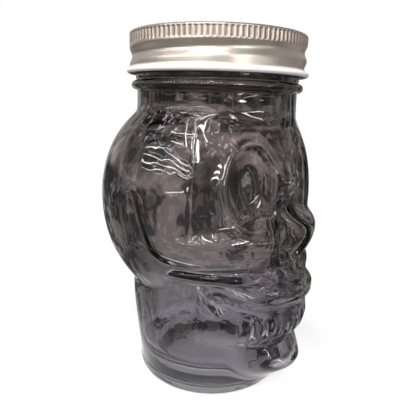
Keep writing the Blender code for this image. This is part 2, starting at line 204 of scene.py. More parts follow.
MUZZLE_WIDTH_HEIGHT_SHARES = (0.04, 0.17, 0.26, 0.33, 0.40, 0.44, 0.475, 0.52)
MUZZLE_WIDTH_SHARES = (0.64, 0.79, 0.98, 1.0, 0.95, 0.93, 0.76, 0.62)
JAW_FOOT_BEARINGS = (0, 12, 25, 40, 57, 90)
JAW_FOOT_SHARES = (0.103, 0.129, 0.181, 0.216, 0.224, 0.224)
JAW_TOP_BEARINGS = (0, 22, 30, 35, 38, 46, 52, 58, 90)
JAW_TOP_SHARES = (0.284, 0.293, 0.306, 0.322, 0.342, 0.365, 0.400, 0.448, 0.448)
print("the muzzle's outline has", len(MUZZLE_REACH_SHARES), "points")

# %% The masses of the skull


def skull_masses(bearing, height):
    """The skull before its hollows: the soft maximum of nape, brain case, cheeks, arch, muzzle, jaw."""
    share = height / shoulder_height
    hidden = HIDDEN_SHARE * neck_radius
    stem_radii = (
        base_radius, (base_radius + nape_radius) / 2, nape_radius, nape_radius,
        hidden, hidden, neck_radius, neck_radius,
    )
    stem = curve(share, STEM_SHARES, stem_radii)
    frontness = ((1 + np.cos(np.radians(bearing))) / 2) ** 2
    brain = egg(
        bearing, height, side=0.0469, front=0.0380, back=0.0497, middle=0.0795,
        rise=BRAIN_RISE + FOREHEAD_RISE * frontness, drop=0.0505, roundness=2.2,
    )
    cheeks = egg(
        bearing, height, side=0.0452, front=0.0442, back=0.0400, middle=0.0690,
        rise=0.0170, drop=0.0290, roundness=1.6,
    )
    ledge = shoulder_height * curve(bearing, LEDGE_BEARINGS, LEDGE_SHARES)
    under = 1 - smooth_step(height, ledge - LEDGE_BELOW, ledge + LEDGE_ABOVE)
    strength = 1 - 0.75 * smooth_step(bearing, 68, 80) - 0.25 * smooth_step(bearing, 80, 96)
    brain = brain - BRAIN_UNDERCUT * under * strength
    cheeks = cheeks - CHEEK_UNDERCUT * under * strength
    arch_height = shoulder_height * curve(bearing, ARCH_BEARINGS, ARCH_HEIGHT_SHARES)
    arch = ARCH_REACH * curve(bearing, ARCH_BEARINGS, ARCH_REACH_SHARES)
    arch = np.maximum(arch - ARCH_FALL * np.abs((height - arch_height) / ARCH_HALF_HEIGHT) ** 2.5, 0)
    muzzle = egg(
        bearing, height,
        side=MUZZLE_HALF_WIDTH * curve(share, MUZZLE_WIDTH_HEIGHT_SHARES, MUZZLE_WIDTH_SHARES),
        front=MUZZLE_REACH * curve(share, MUZZLE_HEIGHT_SHARES, MUZZLE_REACH_SHARES),
        back=MUZZLE_BACK, middle=shoulder_height / 4, rise=shoulder_height / 3,
        drop=shoulder_height / 3, roundness=12, ahead=MUZZLE_AHEAD,
    )
    jaw_foot = shoulder_height * curve(bearing, JAW_FOOT_BEARINGS, JAW_FOOT_SHARES)
    jaw_top = shoulder_height * curve(bearing, JAW_TOP_BEARINGS, JAW_TOP_SHARES)
    plate = smooth_step(JAW_BACK_BEARING - bearing, 0, JAW_BACK_EASE)
    plate = plate * smooth_step(height, jaw_foot - JAW_FOOT_BELOW, jaw_foot + JAW_FOOT_ABOVE)
    plate = plate * (1 - smooth_step(height, jaw_top - JAW_TOP_EASE, jaw_top + JAW_TOP_EASE))
    jaw = JAW_REACH - JAW_RELIEF * (1 - plate)
    return soft_max([stem + 0 * brain, brain, cheeks, arch, muzzle, jaw], MASS_FILLET)


print("brow reach:", round(float(skull_masses(np.array(0.0), np.array(0.095))) * 1000, 1), "mm")

# %% [markdown]
# The sockets are rounded dishes with a faint raised rim, and the nose opening is a pear-shaped pit under
# a small ridge of bone. A groove runs under the cheek arch, with a dimple behind the jaw. Pressing them
# in with smooth masks leaves soft edges, which is what hot glass does in a mould. A boolean cut would
# leave edges that no press can make.

# %% Hollows
SOCKET_BEARING, SOCKET_HALF_BEARING = 24.6, 14.2
SOCKET_HEIGHT, SOCKET_HALF_HEIGHT = 0.0888, 0.0128
SOCKET_DEPTH, SOCKET_RIM, SOCKET_RIM_AT, SOCKET_RIM_WIDTH = 0.0058, 0.0005, 1.26, 0.15
NOSE_DEPTH, NOSE_BONE, NOSE_BONE_BEARING = 0.0064, 0.0036, 9.0
GROOVE_DEPTH, GROOVE_DROP, GROOVE_HALF_HEIGHT = 0.0018, 0.0046, 0.0016
GROOVE_BEARING, GROOVE_HALF_BEARING = 28.0, 8.0
DIMPLE_DEPTH, DIMPLE_HEIGHT, DIMPLE_HALF_HEIGHT = 0.0016, 0.0445, 0.0032
DIMPLE_BEARING, DIMPLE_HALF_BEARING = 43.0, 6.5
NOSE_HEIGHT_SHARES = (0.485, 0.530, 0.582, 0.622, 0.652, 0.680, 0.700, 0.715)
NOSE_HALF_BEARINGS = (7.0, 11.6, 14.8, 13.4, 9.4, 5.6, 3.4, 1.5)
NOSE_FOOT, NOSE_TOP = (0.490, 0.545), (0.660, 0.715)
BONE_FOOT, BONE_TOP = (0.713, 0.776), (0.776, 0.880)


def hollows(bearing, height):
    """Depth of the hollows, less the rims and the nose bone: a sum of bells and smooth masks."""
    share = height / shoulder_height
    across = (bearing - SOCKET_BEARING) / SOCKET_HALF_BEARING
    upward = (height - SOCKET_HEIGHT) / SOCKET_HALF_HEIGHT
    around = np.arctan2(upward, across)
    outline = 1 + 0.06 * np.cos(2 * (around - 0.9)) + 0.05 * np.cos(around + 1.1)
    from_middle = np.sqrt(across**2 + upward**2) / outline
    socket = SOCKET_DEPTH * np.exp(-(from_middle**4.0))
    rim = SOCKET_RIM * bell(from_middle, SOCKET_RIM_AT, SOCKET_RIM_WIDTH)
    half_bearing = curve(share, NOSE_HEIGHT_SHARES, NOSE_HALF_BEARINGS)
    ends = smooth_step(share, *NOSE_FOOT) * (1 - smooth_step(share, *NOSE_TOP))
    inside = np.clip(1 - (bearing / half_bearing) ** 2, 0, 1) * ends
    nose = NOSE_DEPTH * smooth_step(inside, 0, 0.95)
    bone = smooth_step(share, *BONE_FOOT) * (1 - smooth_step(share, *BONE_TOP))
    bone = NOSE_BONE * bone * bell(bearing, 0, NOSE_BONE_BEARING)
    under_arch = shoulder_height * curve(bearing, ARCH_BEARINGS, ARCH_HEIGHT_SHARES) - GROOVE_DROP
    groove = GROOVE_DEPTH * bell(bearing, GROOVE_BEARING, GROOVE_HALF_BEARING)
    groove = groove * bell(height, under_arch, GROOVE_HALF_HEIGHT)
    aside = (bearing - DIMPLE_BEARING) / DIMPLE_HALF_BEARING
    above = (height - DIMPLE_HEIGHT) / DIMPLE_HALF_HEIGHT
    dimple = DIMPLE_DEPTH * np.exp(-((aside**2 + above**2) ** 2))
    return socket - rim + nose - bone + groove + dimple


print("nose pit:", round(float(hollows(np.array(0.0), np.array(0.070))) * 1000, 1), "mm deep")

# %% [markdown]
# The teeth are a wave along the front of the jaws, cut off at the gums and where the rows meet. The heel
# is rounded, and hair-fine ridges show where the parts of the mould met. All of them are added to one
# reach, and the inside of the glass is found from it.

# %% Teeth, heel and seams
TOOTH_BEARING, TOOTH_CROWN, MOUTH_END = 6.5, 0.55, (29.0, 34.0)
UPPER_TOOTH, UPPER_GAP, LOWER_TOOTH = 0.0011, 0.0007, 0.0002
UPPER_BITE, UPPER_GUM, GUM_SCALLOP = (0.233, 0.247), (0.312, 0.341), 0.0086
LOWER_GUM, LOWER_BITE = (0.159, 0.177), (0.203, 0.216)
SEAM_BEARINGS, SEAM_RIDGE, SEAM_WIDTH = (59.0, 180.0), 0.00008, 0.45
PLATE_RING, PLATE_RING_HEIGHT, PLATE_RING_WIDTH = 0.00022, 0.0058, 0.00030


def teeth(bearing, height):
    """Relief of both rows of teeth: a step up from each gap, cut off along the gums and the bite."""
    share = height / shoulder_height
    mouth = 1 - smooth_step(bearing, *MOUTH_END)
    from_gap = 2 * np.abs((bearing / TOOTH_BEARING + 0.5) % 1.0 - 0.5)
    crown = smooth_step(from_gap, 0, TOOTH_CROWN)
    gum_low, gum_high = UPPER_GUM
    upper = smooth_step(share, *UPPER_BITE)
    upper = upper * (1 - smooth_step(share, gum_low - GUM_SCALLOP * from_gap, gum_high))
    lower = smooth_step(share, *LOWER_GUM) * (1 - smooth_step(share, *LOWER_BITE))
    return mouth * (upper * (UPPER_TOOTH * crown - UPPER_GAP) + lower * LOWER_TOOTH * (crown - 1))


def heel(height):
    """How far the rounded heel draws in: a quarter circle at the foot."""
    drop = np.clip((heel_radius - height) / heel_radius, 0, 1)
    return heel_radius * (1 - np.sqrt(1 - drop * drop))


def mould_seam(bearing):
    """A hair-fine ridge where the mould's sides met, at either side of the face and down the back."""
    return SEAM_RIDGE * sum(bell(bearing, middle, SEAM_WIDTH) for middle in SEAM_BEARINGS)


def plate_seam(height):
    """The low ring where the mould's bottom plate met its sides, just above the heel."""
    return PLATE_RING * bell(height, PLATE_RING_HEIGHT, PLATE_RING_WIDTH)


print("a tooth is", round(math.radians(TOOTH_BEARING) * MUZZLE_REACH * 1000, 1), "mm wide")

# %% Outside and inside of the glass
WALL, CAVITY_SOFTNESS = 0.0027, 0.0012
NEAR_REACH, NEAR_WIDTH, NEAR_COUNT = 0.0030, 0.0022, 7


def skull_reach(bearing, height, seams=True):
    """Distance of the outside from Z. Both sides are alike, so it depends on |bearing|."""
    bearing = np.abs((bearing + 180) % 360 - 180)
    reach = skull_masses(bearing, height) - hollows(bearing, height) + teeth(bearing, height)
    return reach - heel(height) + (mould_seam(bearing) + plate_seam(height) if seams else 0)


def cavity_reach(bearing, height):
    """Distance of the inside from Z: a soft minimum of the skin nearby, less the wall's depth.

    Each of 7 by 7 places round the point counts by a bell of its distance, so the inside is as smooth
    as blown glass is, and still no place of the wall is thinner than its neighbours allow.
    """
    around = np.linspace(-NEAR_REACH, NEAR_REACH, NEAR_COUNT)
    total, weights = 0, 0
    for aside in around:
        for up in around:
            weight = bell(aside, 0, NEAR_WIDTH) * bell(up, 0, NEAR_WIDTH)
            near_height = np.clip(height + up, heel_radius, shoulder_height)
            near = skull_reach(bearing + np.degrees(aside / nape_radius), near_height, seams=False)
            total = total + weight * np.exp(-near / CAVITY_SOFTNESS)
            weights = weights + weight
    lowest = -CAVITY_SOFTNESS * np.log(total / weights) - WALL
    to_bore = smooth_step(height, shoulder_height - bead_rise, shoulder_height)
    return lowest * (1 - to_bore) + bore_radius * to_bore


print("inside at the brow:", round(float(cavity_reach(np.array(0.0), np.array(0.095))) * 1000, 1), "mm")

# %% [markdown]
# ## From a grid of points to a mesh
#
# Every turned or pressed piece here is a stack of rings. The rings go into one array of shape (rings,
# columns, 3), and the faces follow from the array's own numbering, so no vertex is handled one by one.
# A grid can close on itself both ways, as the band's section does, or end in a pole at each end.

# %% Grids into meshes


def add_mesh(name, points, faces, body, material):
    """One smooth-shaded object at the origin, from its points and each face's corner numbers."""
    mesh = bpy.data.meshes.new(name)
    mesh.from_pydata(points.reshape(-1, 3).tolist(), [], faces)
    mesh.shade_smooth()
    mesh.materials.append(material)
    piece = bpy.data.objects.new(name, mesh)
    bpy.context.scene.collection.objects.link(piece)
    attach(piece, body)
    triangles = sum(len(face) - 2 for face in faces)
    print(f"{name}: {len(mesh.vertices)} points, {triangles} triangles")
    return piece


def store(piece, name, values):
    """Keep one value a point on the mesh, for its material to read."""
    piece.data.attributes.new(name, "FLOAT", "POINT").data.foreach_set("value", values)


def grid_faces(rings, columns, looped):
    """Corner numbers of the quads between neighbouring rings, with columns joined end to end."""
    ring = np.arange(rings if looped else rings - 1)[:, None]
    column = np.arange(columns)[None, :]
    after = (column + 1) % columns
    above = (ring + 1) % rings
    here, there = ring * columns, above * columns
    corners = [here + column, here + after, there + after, there + column]
    return np.stack(np.broadcast_arrays(*corners), axis=-1).reshape(-1, 4)


def ring_points(bearings, reach, height):
    """Rings of points: x = reach sin(bearing), y = -reach cos(bearing), z = height."""
    bearings, reach, height = np.broadcast_arrays(bearings, reach, height)
    angle = np.radians(bearings)
    return np.stack([reach * np.sin(angle), -reach * np.cos(angle), height], axis=-1)


def capped(points):
    """A stack of rings with a pole at the middle of the first and of the last ring."""
    rings, columns = points.shape[:2]
    faces = grid_faces(rings, columns, looped=False).tolist()
    poles = np.array([[0, 0, points[0, 0, 2]], [0, 0, points[-1, 0, 2]]])
    column = np.arange(columns)
    after = (column + 1) % columns
    first, last = rings * columns, rings * columns + 1
    top = (rings - 1) * columns
    faces += np.stack([after, column, column * 0 + first], axis=1).tolist()
    faces += np.stack([top + column, top + after, column * 0 + last], axis=1).tolist()
    return np.concatenate([points.reshape(-1, 3), poles]), faces


print("faces between 3 rings of 4:", len(grid_faces(3, 4, looped=False)))

# %% [markdown]
# ## Finishes
#
# Shader maths written socket by socket is long and hard to read. A small class that carries a socket
# and overloads the operators lets a finish be written as the formula that it is, and one method adds
# any other node: its settings first, then its values or links.

# %% Shader expressions


class Wire:
    """Wraps a socket, so that +, -, * and ** on it add Math nodes to its tree."""

    def __init__(self, tree, socket):
        self.tree = tree
        self.socket = socket

    def node(self, kind, settings=None, output=0, **values):
        """Any other node: settings first, then values or links by socket name or number."""
        made = self.tree.nodes.new(kind)
        for name, value in (settings or {}).items():
            setattr(made, name, value)
        for name, value in values.items():
            key = int(name[1:]) if name[0] == "_" else name.replace("_", " ")
            if isinstance(value, Wire):
                self.tree.links.new(value.socket, made.inputs[key])
            else:
                made.inputs[key].default_value = value
        return Wire(self.tree, made.outputs[output])

    def maths(self, operation, first, second):
        return self.node("ShaderNodeMath", {"operation": operation}, _0=first, _1=second)

    def __add__(self, other):
        return self.maths("ADD", self, other)

    __radd__ = __add__

    def __mul__(self, other):
        return self.maths("MULTIPLY", self, other)

    __rmul__ = __mul__

    def __rsub__(self, other):
        return self.maths("SUBTRACT", other, self)

    def __pow__(self, other):
        return self.maths("POWER", self, other)

    def ramp(self, low, high, to_low=0.0, to_high=1.0):
        """Map Range: low becomes to_low and high becomes to_high, clamped and smooth."""
        settings = {"interpolation_type": "SMOOTHSTEP"}
        return self.node("ShaderNodeMapRange", settings, _0=self, _1=low, _2=high, _3=to_low, _4=to_high)

    def mix(self, first, second):
        """Mix of two colours, by this value."""
        made = self.tree.nodes.new("ShaderNodeMix")
        made.data_type = "RGBA"
        self.tree.links.new(self.socket, made.inputs["Factor"])
        for key, colour in ((6, first), (7, second)):
            if isinstance(colour, Wire):
                self.tree.links.new(colour.socket, made.inputs[key])
            else:
                made.inputs[key].default_value = (*colour, 1.0)
        return Wire(self.tree, made.outputs[2])


print("operators of a Wire:", "add, subtract from a number, multiply and power")

# %% Materials, noise and bumps


def new_material(name, **values):
    """A material, its Principled shader with these values, and Object coordinates as a Wire."""
    material = bpy.data.materials.new(name)
    material.use_nodes = True
    tree = material.node_tree
    shader = tree.nodes["Principled BSDF"]
    for key, value in values.items():
        shader.inputs[key.replace("_", " ")].default_value = value
    place = Wire(tree, tree.nodes.new("ShaderNodeTexCoord").outputs["Object"])
    return material, shader, place


def feed(shader, **wires):
    for key, wire in wires.items():
        wire.tree.links.new(wire.socket, shader.inputs[key.replace("_", " ")])


def noise(place, scale, detail=2.0, roughness=0.5):
    return place.node(
        "ShaderNodeTexNoise", Vector=place, Scale=scale, Detail=detail, Roughness=roughness,
    )


def bump(height, strength, distance):
    """A normal tilted by the slope of a height."""
    return height.node("ShaderNodeBump", Height=height, Strength=strength, Distance=distance)


def split_axes(place):
    """X, Y and Z of a position, each as a Wire."""
    made = place.node("ShaderNodeSeparateXYZ", _0=place).socket.node
    return [Wire(place.tree, made.outputs[axis]) for axis in "XYZ"]


print("helpers: new_material, feed, noise, bump, split_axes")

# %% [markdown]
# Glass of this kind isn't painted grey: the colour is in the melt. If all of it came from absorption,
# the thick foot would turn black, as it takes in far more than the thin wall. So the tint is shared:
# each surface that light crosses takes its part, a little more where the melt is cloudy or specked or
# near the heel. The much darker colour where the surface is seen at a grazing angle is painted shade
# that darkens the jar's outlines. A mild absorption between the surfaces does the rest. The crown's tint
# is darker and warmer than the foot's: painted shade over the crown and painted light at the foot.
# Pressed glass is never quite flat either: a low, wide ripple in the normals makes highlights swim, and
# below the cheeks a fine orange peel from the mould is added.

# %% The smoke-grey glass
SMOKE_DARK = (0.30, 0.28, 0.30)
glass, glass_shader, place = new_material(
    "smoke_glass_fine", Roughness=0.0, IOR=1.52, Transmission_Weight=1.0,
)
_, _, place_z = split_axes(place)
foot_to_crown = place_z.ramp(0.015, 0.080)
foot_to_cheek = place_z.ramp(0.045, 0.062)
cloud = noise(place, 25.0, detail=2.0)
# Painted shade and light: the tint is darker and warmer towards the crown and lighter towards the foot.
tint_with_painted_shade = foot_to_crown.mix((0.725, 0.723, 0.78), (0.635, 0.59, 0.575))
specks = noise(place, 900.0, detail=3.0, roughness=0.6).ramp(0.45, 0.75)
specks = specks * foot_to_cheek.ramp(0.0, 1.0, 0.55, 0.25)
ripple = noise(place, 80.0, detail=0.0) + 0.15 * noise(place, 260.0, detail=0.0)
orange_peel = noise(place, 430.0, detail=1.0) * foot_to_cheek.ramp(0.0, 1.0, 0.12, 0.0)
smoke = (cloud * 0.3).mix(tint_with_painted_shade, SMOKE_DARK)
smoke = place_z.ramp(0.002, 0.014, 0.5, 0.0).mix(smoke, (0.32, 0.315, 0.34))
# Painted shade: the glass colour turns much darker where the surface is seen edge-on, which darkens the
# outlines.
painted_edge_shade = place.node("ShaderNodeLayerWeight", None, 1, Blend=0.5).ramp(0.12, 0.70, 0.0, 0.85)
smoke = painted_edge_shade.mix(smoke, (0.11, 0.105, 0.115))
feed(
    glass_shader,
    Base_Color=(specks * 0.5).mix(smoke, SMOKE_DARK),
    Normal=bump(ripple + orange_peel, 0.6, 0.0008),
)
smoke_density, smoke_colour = 110.0, (0.525, 0.515, 0.53)
melt = glass.node_tree.nodes.new("ShaderNodeVolumeAbsorption")
melt.inputs["Color"].default_value = (*smoke_colour, 1.0)
melt.inputs["Density"].default_value = smoke_density
output = glass.node_tree.nodes["Material Output"]
glass.node_tree.links.new(melt.outputs["Volume"], output.inputs["Volume"])
print("light left after 6 mm of glass:", [
    round(math.exp(-smoke_density * (1 - c) * 0.006), 2) for c in smoke_colour
])

# %% [markdown]
# The band and the lid are tin-plated steel with a satin finish: warm silver, with fine streaks from
# rolling and faint clouds, and the valleys between the ribs are rougher and darkened by painted shade.
# The streaks
# run round the band, so their pattern is noise that is stretched along the height. The curl at the
# band's foot looks pale in the photograph, so it gets a white coating, and so does the inside, which
# isn't seen. Valleys and coating depend on where a point lies in the section, so each is a value
# stored on the mesh, and one material can show all three.

# %% The satin tinplate
tin, tin_shader, place = new_material("satin_tinplate_fine", Metallic=1.0, Roughness=0.3)
STREAK_SCALE = (60.0, 60.0, 4200.0)
stretched = place.node("ShaderNodeVectorMath", {"operation": "MULTIPLY"}, _0=place, _1=STREAK_SCALE)
streaks = noise(stretched, 1.0, detail=3.0)
clouds = noise(place, 120.0, detail=3.0)
valley, coated = (
    place.node("ShaderNodeAttribute", {"attribute_name": name}, output="Fac")
    for name in ("valley", "coated")
)
# Painted shade: the valleys between the ribs are darkened to brown, with a faint random clouding mixed
# in.
valley_shade_and_tarnish = (valley * 0.75 + clouds * 0.25).ramp(0.1, 0.9)
metal = valley_shade_and_tarnish.mix((0.60, 0.555, 0.485), (0.34, 0.255, 0.22))
feed(
    tin_shader,
    Base_Color=coated.mix(metal, (0.86, 0.86, 0.84)),
    Metallic=1.0 - coated,
    Roughness=0.30 + 0.12 * streaks + 0.12 * valley_shade_and_tarnish + 0.15 * coated,
    Normal=bump(streaks, 0.12, 0.0002),
)
print("tinplate nodes:", len(tin.node_tree.nodes))

# %% [markdown]
# The ring under the lid's edge is a cast sealing compound, a pale and slightly grainy rubber that is
# poured in and cured. Its solid is fine as it is, so it keeps the frame's own mesh and only gets this
# finish in its material slot.

# %% The sealing compound
compound, compound_shader, place = new_material("sealing_compound_fine", Roughness=0.55)
grain = noise(place, 900.0, detail=2.0)
feed(
    compound_shader,
    Base_Color=grain.mix((0.66, 0.62, 0.57), (0.78, 0.75, 0.70)),
    Roughness=0.45 + 0.2 * grain,
    Normal=bump(grain, 0.3, 0.0002),
)
print("materials:", [m.name for m in (glass, tin, compound)])

# %% [markdown]
# ## The glass jar
#
# One closed sheet runs from the middle of the domed underside, out over the foot, up the skull, over the
# bead and the thread, round the lip, down the inside and across the thick floor. Columns are close on
# the face and wide at the back, because that is where the detail is. The wall and the floor are real
# glass between two real surfaces, so light bends in them as it does in the jar. The thread is a ridge
# that climbs one pitch a turn and runs out at both ends, the same kind that the band's groove follows.

# %% Columns and rows of the jar


def spread(marks, counts):
    """Values that run from mark to mark, each stretch cut into its own number of even steps."""
    stretches = [np.linspace(a, b, n, endpoint=False) for a, b, n in zip(marks, marks[1:], counts)]
    return np.concatenate([*stretches, [marks[-1]]])


def arc(radius, height, across, up, start, end, steps):
    """Points (radius, height) along part of an ellipse, by angle in degrees."""
    angle = np.radians(np.linspace(start, end, steps))
    return [(radius + across * c, height + up * s) for c, s in zip(np.cos(angle), np.sin(angle))]


half = spread((0, 36, 94, 180), (64, 68, 28))
columns = np.concatenate([-half[:0:-1], half[:-1]])
skull_rows = shoulder_height * spread(
    (heel_radius / shoulder_height, 0.0435, 0.0565, 0.15, 0.36, 0.43, 0.56, 0.78, 0.92, 1.0),
    (3, 6, 6, 28, 10, 24, 30, 14, 8),
)
print("columns", len(columns), "rings on the skull", len(skull_rows))

# %% The thread on the glass


def thread_turns(bearing, height, lead):
    """The nearest turn of a helix, as turns from its start, and the distance off its line."""
    turn = (bearing % 360) / 360
    count = (height - thread_datum + lead) / thread_pitch - turn
    nearest = np.round(count)
    return nearest + turn, (count - nearest) * thread_pitch


def run_out(along, start, end, fade=0.08):
    """1 along the thread, fading in and out over twice this share of a turn at its ends."""
    begun = smooth_step(along, start - fade, start + fade)
    return begun * (1 - smooth_step(along, end - fade, end + fade))


def glass_thread(bearing, height):
    """A rounded ridge, half a cosine across, that climbs one pitch a turn between two grooves."""
    along, off = thread_turns(bearing, height, thread_pitch / 2)
    ridge = np.cos(np.clip(off / thread_half_width, -1, 1) * math.pi / 2) ** 2
    return (thread_radius - root_radius) * ridge * run_out(along, *thread_run)


thread_height = float(glass_thread(0.0, thread_datum + thread_pitch / 2))
print("thread stands out by", round(thread_height * 1000, 1), "mm")

# %% The jar's rings
rings = []


def add_ring(reach, height):
    rings.append(ring_points(columns, reach, height))


push_up_radius, push_up_depth, push_up_dome = 0.0228, 0.0015, 0.0022
floor, floor_fillet = 0.0060, 0.0130
below_bead, above_bead = 0.0008, 0.0006
panel_edge = push_up_radius - push_up_depth
for share in np.linspace(0.1, 1, 7):
    add_ring(panel_edge * share, push_up_depth + push_up_dome * (1 - share * share))
for radius, height in arc(panel_edge, 0, push_up_depth, push_up_depth, 90, 0, 5)[1:]:
    add_ring(radius, height)
add_ring(base_radius - heel_radius, 0)
for drop in np.radians(np.linspace(90, 0, 9))[1:-1]:
    height = heel_radius * (1 - math.sin(drop))
    add_ring(skull_reach(columns, height), height)
for height in skull_rows:
    add_ring(skull_reach(columns, height), height)
for height in np.linspace(shoulder_height, bead_height - bead_half_height - below_bead, 5)[1:]:
    add_ring(neck_radius, height)
bead_out = bead_radius - neck_radius
for radius, height in arc(neck_radius, bead_height, bead_out, bead_half_height, -90, 90, 13):
    add_ring(radius, height)
lip_start = rim_height - lip_round
for height in np.linspace(bead_height + bead_half_height + above_bead, lip_start, 25):
    add_ring(root_radius + glass_thread(columns, height), height)
for radius, height in arc(root_radius - lip_round, lip_start, lip_round, lip_round, 0, 90, 5)[1:]:
    add_ring(radius, height)
for radius, height in arc(bore_radius + lip_round, lip_start, lip_round, lip_round, 90, 180, 5):
    add_ring(radius, height)
for height in np.linspace(lip_start, shoulder_height, 8)[1:-1]:
    add_ring(bore_radius, height)
for height in spread((shoulder_height, 0.100, 0.046, floor + floor_fillet), (10, 51, 30)):
    add_ring(cavity_reach(columns, height), height)
edge = cavity_reach(columns, floor + floor_fillet)
for turn in np.radians(np.linspace(0, 90, 9))[1:]:
    add_ring(edge - floor_fillet * (1 - math.cos(turn)), floor + floor_fillet * (1 - math.sin(turn)))
inner_edge = edge - floor_fillet
for share in (0.75, 0.5, 0.25, 0.1):
    add_ring(inner_edge * share, floor)

points, faces = capped(np.array(rings))
jar = add_mesh("skull_jar_glass", points, faces, "jar", glass)
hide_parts("glass_jar")

# %% [markdown]
# ## The screw band
#
# The band is thin sheet rolled to a section and knurled: a flat rim with a hole, a tight corner, a
# belt of fine upright ribs to grip, one thread groove rolled in from outside, and a foot curled
# outwards. Its section is walked once, down the outside and up the inside, and turned about Z. The
# ribs and the groove are added as small changes of radius, so the sheet keeps its thickness.

# %% Ribs and groove of the band
band_radius = 0.0356
curl_radius = 0.0368
band_wall = 0.0005
band_hole_radius = 0.0300
corner = 0.0008
knurl_height = 0.0044
knurl_depth = 0.0004
knurl_into_corner = 0.0004
knurl_run_out = 0.0006
groove_depth = 0.0010
rib_count = 110
curl_half = 0.0010
steps_in_rib = 8
band_columns = np.arange(rib_count * steps_in_rib) * 360 / (rib_count * steps_in_rib) - 180


def rib_valley(bearing, height):
    """1 in the valley between two ribs and 0 on a rib, a rounded wave inside the knurled belt."""
    wave = 0.5 - 0.5 * np.cos(np.radians(bearing) * rib_count)
    knurl_top = band_top - corner + knurl_into_corner
    knurl_foot = knurl_top - knurl_height
    belt = smooth_step(height, knurl_foot, knurl_foot + knurl_run_out)
    belt = belt * (1 - smooth_step(height, knurl_top - knurl_run_out, knurl_top))
    return wave**1.4 * belt


def band_groove(bearing, height):
    """Depth of the rolled groove: a cosine across the pitch, along one climbing turn."""
    along, off = thread_turns(bearing, height, 0)
    dip = np.cos(off / thread_pitch * 2 * math.pi) / 2 + 1 / 2
    return groove_depth * dip * run_out(along, *groove_run)


print("ribs", rib_count, "of", round(2 * math.pi * band_radius / rib_count * 1000, 1), "mm")

# %% The band's section
corner_height = band_top - corner
curl_height = band_bottom + curl_half
outer_heights = spread(
    (corner_height, corner_height - knurl_height - knurl_run_out, curl_height + 2 * curl_half), (18, 24),
)
corner_radius = band_radius - corner
corner_arc = arc(corner_radius, corner_height, corner, corner, 90, 0, 7)
curl_arc = arc(band_radius, curl_height, curl_radius - band_radius, curl_half, 90, -90, 13)
section = [(band_hole_radius, band_top - band_wall, False), (band_hole_radius, band_top, False)]
section += [(r, band_top, False) for r in np.linspace(band_hole_radius + 0.0003, corner_radius, 5)]
section += [(r, z, False) for r, z in corner_arc[1:]]
section += [(band_radius, z, True) for z in outer_heights[1:]]
first_coated = len(section)
section += [(r, z, False) for r, z in curl_arc]
section += [(band_radius - band_wall, curl_height, False)]
section += [(band_radius - band_wall, z, True) for z in outer_heights[::-2]]
section += [(corner_radius, band_top - band_wall, False)]
print("band section:", len(section), "points, of which coated", len(section) - first_coated)

# %% The band's mesh
coatings = np.repeat(np.arange(len(section)) >= first_coated, len(band_columns)).astype(float)
band_rings, valleys = [], []
for radius, height, shaped in section:
    outside = radius >= band_radius
    dip = rib_valley(band_columns, height) * (1 if shaped and outside else 0)
    groove = band_groove(band_columns, height) if shaped else 0
    band_rings.append(ring_points(band_columns, radius - knurl_depth * dip - groove, height))
    valleys.append(dip + 0 * band_columns)
band_grid = np.array(band_rings)
band_faces = grid_faces(len(band_grid), len(band_columns), looped=True)
band = add_mesh("screw_band_ribbed", band_grid, band_faces[:, ::-1].tolist(), "band", tin)
store(band, "valley", np.array(valleys).ravel())
store(band, "coated", coatings)
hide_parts("screw_band")

# %% [markdown]
# ## The flat lid
#
# Inside the band lies a thin pressed disc. Its rim is flat where it seals, a small step lifts the
# middle panel into the band's hole, and a shallow ring is pressed into the panel to stiffen it. It is
# a solid of revolution, so a section from the middle outwards and back along the underside is enough.

# %% The lid's section
disc_low, disc_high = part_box("lid_disc")
disc_radius = disc_high.x
disc_bottom = disc_low.z
disc_thickness = 0.0005
panel_radius, panel_rise, panel_slope = 0.0272, 0.0005, 0.0016
ring_radius, ring_width, ring_share = 0.0205, 0.0011, 0.8
edge_round = 0.0001


def panel_lift(radius):
    """Height of the lid's sheet over its rim: a smooth step up, and one shallow pressed ring."""
    step = 1 - smooth_step(radius, panel_radius, panel_radius + panel_slope)
    return panel_rise * step * (1 - ring_share * bell(radius, ring_radius, ring_width))


radii = spread(
    (0.0005, 0.0175, 0.0235, panel_radius, 0.0290, disc_radius - 2 * edge_round), (6, 16, 3, 10, 5),
)
top = disc_bottom + disc_thickness
lid_section = [(r, top + panel_lift(r)) for r in radii]
lid_section += [(disc_radius, top - edge_round), (disc_radius, disc_bottom + edge_round)]
lid_section += [(r, disc_bottom + panel_lift(r)) for r in radii[::-1]]
lid_columns = np.arange(180) * 2.0 - 180
lid_grid = np.array([ring_points(lid_columns, r, z) for r, z in lid_section[::-1]])
points, faces = capped(lid_grid)
lid = add_mesh("flat_lid_pressed", points, faces, "lid", tin)
store(lid, "valley", np.zeros(len(points)))
store(lid, "coated", np.zeros(len(points)))
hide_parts("lid_disc")

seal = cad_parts["sealing_ring"]
seal.material_slots[0].material = compound
print("lid from", round(disc_bottom, 4), "to", round(top + panel_rise, 4), "and ring in", compound.name)

# %% [markdown]
# ## Floor, surroundings, lights and camera
#
# Glass shows what is around it, so the stage matters more here than it does for wood or cloth. The
# photograph shows the jar cut out on white. The floor is a pale disc that glows softly under the jar,
# as a light table does, and fades out before it meets the backdrop, so no horizon line shows.

